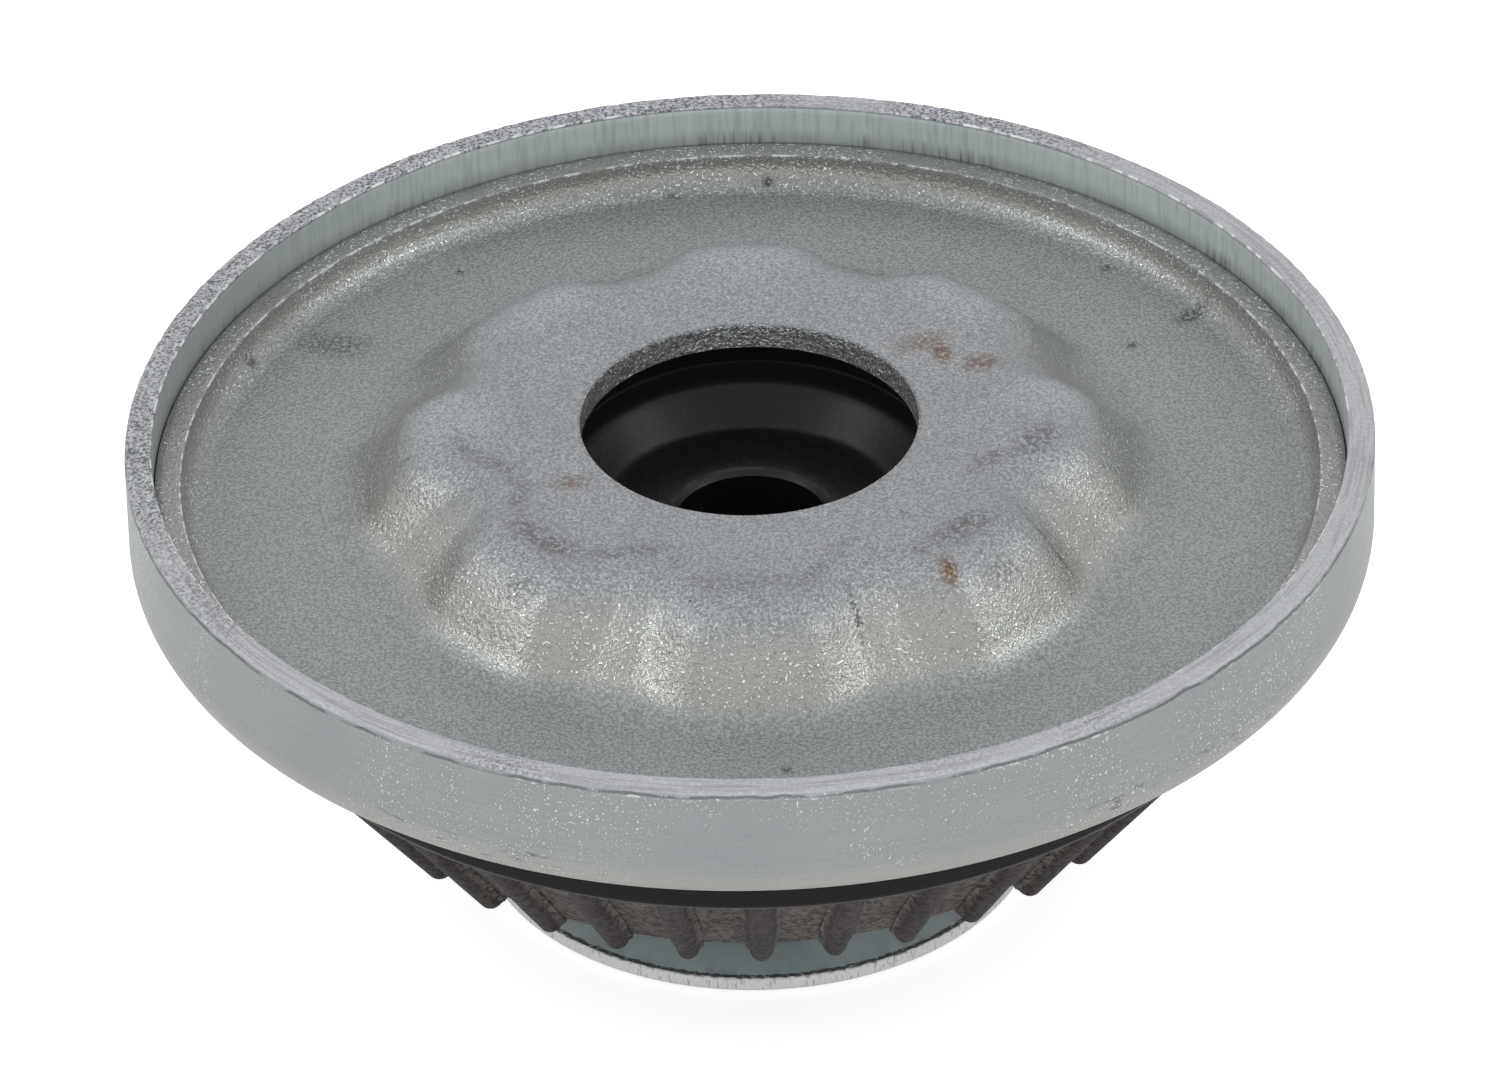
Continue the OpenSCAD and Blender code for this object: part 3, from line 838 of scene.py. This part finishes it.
def dish_wear(rows, angles):
    """Torn outer edge of the rim, and an uneven sheared top."""
    high, outer = DISH_HIGH.z, DISH_HIGH.x
    near_top = np.clip((rows[:, 1] - (high - 0.6 * MM)) / (0.2 * MM), 0.0, 1.0)
    near_out = np.clip((rows[:, 0] - (outer - 0.6 * MM)) / (0.2 * MM), 0.0, 1.0)
    edge = (near_top * near_out)[:, None]
    top = (rows[:, 1] > high - 0.05 * MM)[:, None]
    torn = np.clip(ripple(angles, 20, 240, 3), -0.8, 2.5)[None, :]
    slow = ripple(angles, 2, 14, 5)[None, :]
    height = -edge * 0.03 * MM * torn + top * 0.03 * MM * slow
    radius = edge * 0.02 * MM * np.clip(ripple(angles, 15, 200, 9), -1.5, 1.5)[None, :]
    return radius, height


def foot_radius():
    """Radius of the dome's round foot, where it meets the land."""
    size = sizes()
    turn = size.dome_edge + size.dome_foot
    rise = size.dome_height - turn * (1.0 - math.cos(size.dome_slope))
    return size.lobe_tip + turn * math.sin(size.dome_slope) + rise / math.tan(size.dome_slope)


def lobe_section(inset, steps):
    """Upper surface of a lobe from its flat top to the land, as a plain turned form."""
    size = sizes()
    dome_z = COVER_HIGH.z
    land_z = dome_z - size.dome_height
    slope = math.degrees(size.dome_slope)
    top, foot = size.lobe_tip, foot_radius()
    upper = arc((top, dome_z - size.dome_edge), size.dome_edge - inset, 90, 90 - slope, steps)
    lower = arc((foot, land_z + size.dome_foot), size.dome_foot + inset, 270 - slope, 270, steps)
    return upper + line(upper[-1], lower[0], max(steps // 2, 2))[:-1] + lower


def cover_section():
    """Section of the cover through a lobe, before its flutes are pressed."""
    size = sizes()
    outer, low, dome_z = COVER_HIGH.x, COVER_LOW.z, COVER_HIGH.z
    land_z = low + size.sheet
    edge_z = DISH_HIGH.z - size.cover_step
    inner = outer - size.sheet
    bend = (outer - size.cover_fillet - size.sheet, low + size.cover_fillet + size.sheet)
    under = lobe_section(size.sheet, 6)
    upper = lobe_section(0.0, 16)
    hole = size.hole
    points = [(hole, dome_z - size.sheet)]
    points += under
    points += line(under[-1], (bend[0], low), 2)
    points += arc(bend, size.cover_fillet + size.sheet, 270, 360, 6)[1:]
    points += [
        (outer, edge_z - 0.45 * MM), (outer - 0.12 * MM, edge_z - 0.15 * MM), (outer - 0.4 * MM, edge_z)]
    points += line((outer - 0.4 * MM, edge_z), (inner + 0.12 * MM, edge_z), 4)
    points += [(inner + 0.03 * MM, edge_z - 0.03 * MM), (inner, edge_z - 0.15 * MM)]
    points += arc(bend, size.cover_fillet, 360, 270, 12)
    points += line((bend[0], land_z), upper[-1], 8)[:-1]
    points += upper[::-1]
    points += line(upper[0], (hole + 0.2 * MM, dome_z), 7)
    points += [(hole + 0.05 * MM, dome_z - 0.06 * MM), (hole, dome_z - 0.2 * MM)]
    points += line((hole, dome_z - 0.2 * MM), (hole, dome_z - size.sheet), 6)[:-1]
    return points


def press_depth(mesh, start, low):
    """Stores how deep the flutes are at each point: growing from a radius out to the lobes' tips,
    and fading to nothing at the foot. Points below a height keep their place."""
    size = sizes()
    tip, foot = size.lobe_tip, foot_radius()
    places = np.zeros(len(mesh.vertices) * 3)
    mesh.vertices.foreach_get("co", places)
    places = places.reshape(-1, 3)
    radius = np.hypot(places[:, 0], places[:, 1])
    rise = np.clip((radius - start) / (tip - start), 0.0, 1.0)
    fade = 1.0 - np.clip((radius - tip) / (foot - tip), 0.0, 1.0) ** 2
    depth = size.flute_depth * rise * fade * (places[:, 2] > low)
    mesh.attributes.new("press", "FLOAT", "POINT").data.foreach_set("value", depth.astype(np.float32))


def fluted_mesh(mesh, start, low, material, name):
    """Presses the flutes into a turned mesh."""
    size = sizes()
    press_depth(mesh, start, low)
    return modified_mesh(mesh, flute_press(), {
        "Lobes": size.lobe_count, "Lobe Share": size.lobe_share,
        "Flute Share": size.flute_share, "Material": material}, name)


def rubber_section():
    size = sizes()
    bond = size.bond
    seat = DISC_HIGH.z + bond
    top = DISH_LOW.z - bond
    band_r = RUBBER_HIGH.x
    band_z = DISH_LOW.z - size.band_height
    skirt_z = band_z - size.skirt_height
    groove_z = skirt_z + size.groove_height
    lip_in = size.skirt_edge - size.lip
    cup_out = BUSH_HIGH.x + bond
    cup_under = COVER_HIGH.z - size.cup_depth - size.cup_floor - bond
    cup_edge = BUSH_HIGH.z + bond
    throat = size.throat - bond
    stem = size.stem + bond
    soft = 0.8 * MM
    lean = math.degrees(math.atan2(size.skirt_top - size.skirt_edge, size.skirt_height))
    points = [(stem, seat), (size.neck - 0.5 * MM, seat), (size.neck, seat + 0.5 * MM)]
    points += arc((size.neck + size.groove, groove_z - size.groove), size.groove, 180, 90, 8)
    points += arc((lip_in - size.groove, groove_z - size.groove), size.groove, 90, 0, 8)
    points += [(lip_in, skirt_z + 0.4 * MM), (lip_in + 0.4 * MM, skirt_z)]
    corner = (size.skirt_edge - 0.9 * soft, skirt_z + soft)
    points += arc(corner, soft, 270, 360 - lean, 6)
    points += line(points[-1], (size.skirt_top - 0.3 * MM, band_z - 0.4 * MM), 14)
    points += [(size.skirt_top, band_z - 0.05 * MM), (size.skirt_top + 0.5 * MM, band_z)]
    points += arc((band_r - soft, band_z + soft), soft, 270, 360, 8)
    points += line((band_r, band_z + soft), (band_r, top), 6)
    points += [(throat, top), (throat, COVER_LOW.z - bond)]
    points += lobe_section(size.sheet + bond, 5)[::-1]
    points += [(size.cup, COVER_HIGH.z - size.sheet - bond), (size.cup, cup_edge), (cup_out, cup_edge)]
    points += [
        (cup_out, cup_under + size.cup_cone), (cup_out - size.cup_cone, cup_under), (stem, cup_under)]
    return points


def bush_section():
    size = sizes()
    floor = COVER_HIGH.z - size.cup_depth
    under = floor - size.cup_floor
    edge = BUSH_HIGH.z
    outer = BUSH_HIGH.x
    cone_top = floor + size.cup_cone
    cone_foot = size.cup - size.cup_cone
    chamfer = 0.5 * MM
    lip = size.rod + chamfer
    points = [(lip, 0.0), (size.spigot - 0.2 * MM, 0.0), (size.spigot, 0.2 * MM)]
    points += [(size.spigot, DISC_HIGH.z)]
    points += [(size.stem, DISC_HIGH.z), (size.stem, under), (outer - size.cup_cone, under)]
    points += [(outer, under + size.cup_cone), (outer, edge - 0.2 * MM), (outer - 0.2 * MM, edge)]
    points += [(size.cup + 0.2 * MM, edge), (size.cup, edge - 0.2 * MM)]
    points += line((size.cup, edge - 0.2 * MM), (size.cup, cone_top + 0.25 * MM), 4)
    points += [(size.cup - 0.18 * MM, cone_top - 0.18 * MM)]
    points += line(points[-1], (cone_foot + 0.25 * MM, floor + 0.25 * MM), 5)
    points += [(cone_foot - 0.25 * MM, floor)]
    points += line((cone_foot - 0.25 * MM, floor), (lip + 0.3 * MM, floor), 5)
    points += [(lip, floor - 0.1 * MM), (size.rod, floor - chamfer)]
    points += line((size.rod, floor - chamfer), (size.rod, chamfer), 12)
    return points


def disc_section():
    size = sizes()
    outer, top = DISC_HIGH.x, DISC_HIGH.z
    roll = 0.5 * MM
    hole = size.spigot + 0.02 * MM
    points = [(hole, 0.0)]
    points += line((hole, 0.0), (outer - roll, 0.0), 6)
    points += arc((outer - roll, roll), roll, 270, 360, 8)[1:]
    points += [
        (outer, top - 0.3 * MM), (outer + 0.03 * MM, top - 0.08 * MM),
        (outer - 0.1 * MM, top + 0.03 * MM), (outer - 0.35 * MM, top)]
    points += line((outer - 0.35 * MM, top), (hole, top), 8)
    return points


def disc_wear(rows, angles):
    """Torn burr along the disc's upper edge."""
    top, outer = DISC_HIGH.z, DISC_HIGH.x
    near = ((rows[:, 0] > outer - 0.2 * MM) & (rows[:, 1] > top - 0.2 * MM)).astype(float)[:, None]
    torn = np.clip(ripple(angles, 10, 160, 21), -1.0, 2.0)[None, :]
    return near * 0.05 * MM * torn, near * 0.05 * MM * torn


def rib_mesh(name):
    """One half-round rib at the front, with flared feet, sunk into the skirt."""
    size = sizes()
    band_z = DISH_LOW.z - size.band_height
    skirt_z = band_z - size.skirt_height
    top = Vector((0.0, -size.skirt_top, band_z))
    end = Vector((0.0, -size.skirt_edge, skirt_z))
    down = (end - top).normalized()
    side = Vector((1.0, 0.0, 0.0))
    out = side.cross(down)
    if out.y > 0.0:
        out = -out
    reach = (end - top).length
    across_steps, along_steps, end_steps = 20, 14, 10
    rib = size.rib
    foot = 1.22 * rib
    sink = 1.0 * MM
    section = []
    for k in range(across_steps + 1):
        width = foot * (-1.0 + 2.0 * k / across_steps)
        flare = 0.14 * rib * max(0.0, 1.0 - abs(abs(width) - rib) / (foot - rib)) ** 2
        section.append((width, max(math.sqrt(max(rib ** 2 - width ** 2, 0.0)), flare)))
    start = -0.8 * rib
    stations = [(start + (reach - start) * i / along_steps, 1.0) for i in range(along_steps)]
    stations += [
        (reach + rib * math.sin(a), math.cos(a))
        for a in np.linspace(0.0, math.radians(84.0), end_steps)
    ]
    narrow = [
        1.0 - 0.2 * min(max((d - reach + 4.0 * MM) / (2.5 * MM), 0.0), 1.0) for d, share in stations]
    rings = [
        [top + down * d + (side * width * slim + out * height) * share for width, height in section]
        for (d, share), slim in zip(stations, narrow)
    ]
    points, faces = [], []
    wide = across_steps + 1
    for ring, (distance, share), slim in zip(rings, stations, narrow):
        points += ring
        middle = top + down * distance
        half = side * foot * slim * share
        points += [middle + half - out * sink, middle - half - out * sink]
    per = wide + 2
    for i in range(len(rings) - 1):
        for k in range(per):
            after = (k + 1) % per
            faces.append((i * per + k, i * per + after, (i + 1) * per + after, (i + 1) * per + k))
    faces.append(tuple(range(per)))
    faces.append(tuple(reversed(range((len(rings) - 1) * per, len(rings) * per))))
    mesh = bpy.data.meshes.new(name)
    mesh.from_pydata([tuple(p) for p in points], [], faces)
    mesh.update()
    return mesh


# Operators

class STRUT_OT_outer_dish(bpy.types.Operator):
    """Turn the dish with its sheared rim"""

    bl_idname = "strut.outer_dish"
    bl_label = "Outer Dish"

    def execute(self, context):
        mesh = turned_mesh("dish", dish_section(), RIM_STEPS, dish_wear)
        finished_piece("dish", mesh, zinc_dish(), "outer_dish")
        return {"FINISHED"}


class STRUT_OT_fluted_cover(bpy.types.Operator):
    """Turn the cover and press its flutes"""

    bl_idname = "strut.fluted_cover"
    bl_label = "Fluted Cover"

    def execute(self, context):
        material = zinc_cover()
        blank = turned_mesh("cover_blank", cover_section(), FINE_STEPS)
        mesh = fluted_mesh(blank, sizes().hole, 0.0, material, "cover")
        finished_piece("cover", mesh, material, "fluted_cover")
        return {"FINISHED"}


class STRUT_OT_rubber_body(bpy.types.Operator):
    """Mould the rubber body, its skirt and its ribs"""

    bl_idname = "strut.rubber_body"
    bl_label = "Rubber Body"

    def execute(self, context):
        size = sizes()
        material = moulded_rubber()
        blank = turned_mesh("rubber_blank", rubber_section(), PLAIN_STEPS)
        mesh = fluted_mesh(
            blank, BUSH_HIGH.x + size.bond, DISH_HIGH.z - size.cover_step, material, "rubber")
        finished_piece("rubber", mesh, material, "rubber_body")
        ribs = modified_mesh(rib_mesh("rib"), rib_pattern(), {
            "Ribs": size.rib_count, "Material": material}, "skirt_ribs")
        finished_piece("skirt_ribs", ribs, material, None, sharp=60.0)
        return {"FINISHED"}


class STRUT_OT_core_bush(bpy.types.Operator):
    """Turn the black bush with its nut cup"""

    bl_idname = "strut.core_bush"
    bl_label = "Core Bush"

    def execute(self, context):
        mesh = turned_mesh("bush", bush_section(), PLAIN_STEPS)
        finished_piece("bush", mesh, black_coat(), "core_bush")
        return {"FINISHED"}


class STRUT_OT_base_disc(bpy.types.Operator):
    """Stamp the base disc"""

    bl_idname = "strut.base_disc"
    bl_label = "Base Disc"

    def execute(self, context):
        mesh = turned_mesh("disc", disc_section(), FINE_STEPS, disc_wear)
        finished_piece("disc", mesh, zinc_disc(), "base_disc")
        return {"FINISHED"}


def studio_world():
    """Soft white surround, brighter overhead."""
    world = bpy.data.worlds.new("studio")
    bpy.context.scene.world = world
    world.use_nodes = True
    made = Wiring(world.node_tree)
    direction = made.node("ShaderNodeTexCoord").outputs["Generated"]
    height = made.node("ShaderNodeSeparateXYZ", {0: direction}).outputs["Z"]
    overhead = made.node("ShaderNodeMapRange", {
        "Value": height, "From Min": 0.1, "From Max": 1.0, "To Min": WORLD_LOW, "To Max": WORLD_HIGH})
    back = made.tree.nodes["Background"]
    made.feed(back.inputs["Strength"], overhead.outputs["Result"])
    made.feed(back.inputs["Color"], (1.0, 1.0, 1.0))


def studio_floor():
    """Pale floor that keeps the mount's shadow."""
    mesh = bpy.data.meshes.new("floor")
    half, z = FLOOR_HALF, FLOOR_Z
    mesh.from_pydata(
        [(-half, -half, z), (half, -half, z), (half, half, z), (-half, half, z)], [], [(0, 1, 2, 3)])
    floor = bpy.data.objects.new("floor", mesh)
    bpy.context.scene.collection.objects.link(floor)
    material = bpy.data.materials.new("floor_paper")
    material.use_nodes = True
    made = Wiring(material.node_tree)
    path = made.node("ShaderNodeLightPath").outputs
    straight = made.math("ADD", path["Is Camera Ray"], path["Is Transmission Ray"])
    seen = made.math("MULTIPLY_ADD", path["Is Glossy Ray"], FLOOR_GLOW_IN_GLOSS, straight)
    paper = made.tree.nodes["Principled BSDF"].inputs
    made.feed(paper["Base Color"], bpy.context.scene.mount_stage.floor_colour)
    made.feed(paper["Roughness"], 1.0)
    made.feed(paper["Specular IOR Level"], 0.0)
    made.feed(paper["Emission Color"], (1.0, 1.0, 1.0))
    made.feed(paper["Emission Strength"], made.math("MULTIPLY", seen, FLOOR_GLOW))
    mesh.materials.append(material)


def soft_lamp(name, place, width, height, power, roll):
    """Rectangular softbox that points at the mount, turned about its own axis by a roll in degrees."""
    lamp = bpy.data.lights.new(name, "AREA")
    lamp.shape = "RECTANGLE"
    lamp.size = width
    lamp.size_y = height
    lamp.energy = power
    holder = bpy.data.objects.new(name, lamp)
    holder.location = place
    aimed = (Vector(LAMP_AIM) - Vector(place)).to_track_quat("-Z", "Y")
    holder.rotation_euler = (aimed @ Quaternion((0.0, 0.0, 1.0), math.radians(roll))).to_euler()
    bpy.context.scene.collection.objects.link(holder)


def photo_camera():
    """Camera at the photograph's place, aimed so that the rim's centre lies at its pixel."""
    stage = bpy.context.scene.mount_stage
    target = Vector((0.0, 0.0, DISH_HIGH.z))
    tilt = stage.elevation
    place = target + stage.distance * Vector((0.0, -math.cos(tilt), math.sin(tilt)))
    steeper = math.atan2(PHOTO_H / 2.0 - stage.rim_y, stage.focal_px)
    aside = math.atan2(PHOTO_W / 2.0 - stage.rim_x, stage.focal_px)
    pitch = tilt + steeper
    back = Vector((-math.sin(aside), -math.cos(pitch), math.sin(pitch))).normalized()
    right = Vector((0.0, 0.0, 1.0)).cross(back).normalized()
    up = back.cross(right)
    turn_c, turn_s = math.cos(stage.roll), math.sin(stage.roll)
    right, up = right * turn_c - up * turn_s, right * turn_s + up * turn_c
    camera = bpy.data.cameras.new("camera")
    camera.sensor_width = SENSOR_MM
    camera.lens = stage.focal_px * SENSOR_MM / PHOTO_W
    camera.clip_start = 0.05
    camera.clip_end = 20.0
    holder = bpy.data.objects.new("camera", camera)
    bpy.context.scene.collection.objects.link(holder)
    holder.matrix_world = Matrix((
        (right.x, up.x, back.x, place.x), (right.y, up.y, back.y, place.y),
        (right.z, up.z, back.z, place.z), (0.0, 0.0, 0.0, 1.0)))
    bpy.context.scene.camera = holder


class STRUT_OT_stage(bpy.types.Operator):
    """Set the floor, the lamps and the camera"""

    bl_idname = "strut.stage"
    bl_label = "Studio Stage"

    def execute(self, context):
        context.scene.view_settings.view_transform = "Standard"
        studio_world()
        studio_floor()
        for lamp in LAMPS:
            soft_lamp(*lamp)
        photo_camera()
        return {"FINISHED"}


class STRUT_PT_panel(bpy.types.Panel):
    """Sidebar list of the mount's pieces"""

    bl_idname = "STRUT_PT_panel"
    bl_label = "Strut Mount"
    bl_space_type = "VIEW_3D"
    bl_region_type = "UI"
    bl_category = "Strut Mount"

    def draw(self, context):
        for piece in PIECES:
            self.layout.operator(piece.bl_idname)
        for group, kind in GROUPS.items():
            box = self.layout.box()
            for name in kind.__annotations__:
                box.prop(getattr(context.scene, group), name)


PIECES = (
    STRUT_OT_outer_dish, STRUT_OT_fluted_cover, STRUT_OT_rubber_body,
    STRUT_OT_core_bush, STRUT_OT_base_disc, STRUT_OT_stage,
)
CLASSES = (*GROUPS.values(), *PIECES, STRUT_PT_panel)


def register():
    for made in CLASSES:
        bpy.utils.register_class(made)
    for name, group in GROUPS.items():
        setattr(bpy.types.Scene, name, bpy.props.PointerProperty(type=group))


def unregister():
    for name in GROUPS:
        delattr(bpy.types.Scene, name)
    for made in reversed(CLASSES):
        bpy.utils.unregister_class(made)


def main():
    register()
    bpy.ops.strut.outer_dish()
    bpy.ops.strut.fluted_cover()
    bpy.ops.strut.rubber_body()
    bpy.ops.strut.core_bush()
    bpy.ops.strut.base_disc()
    bpy.ops.strut.stage()


if __name__ == "__main__":
    main()
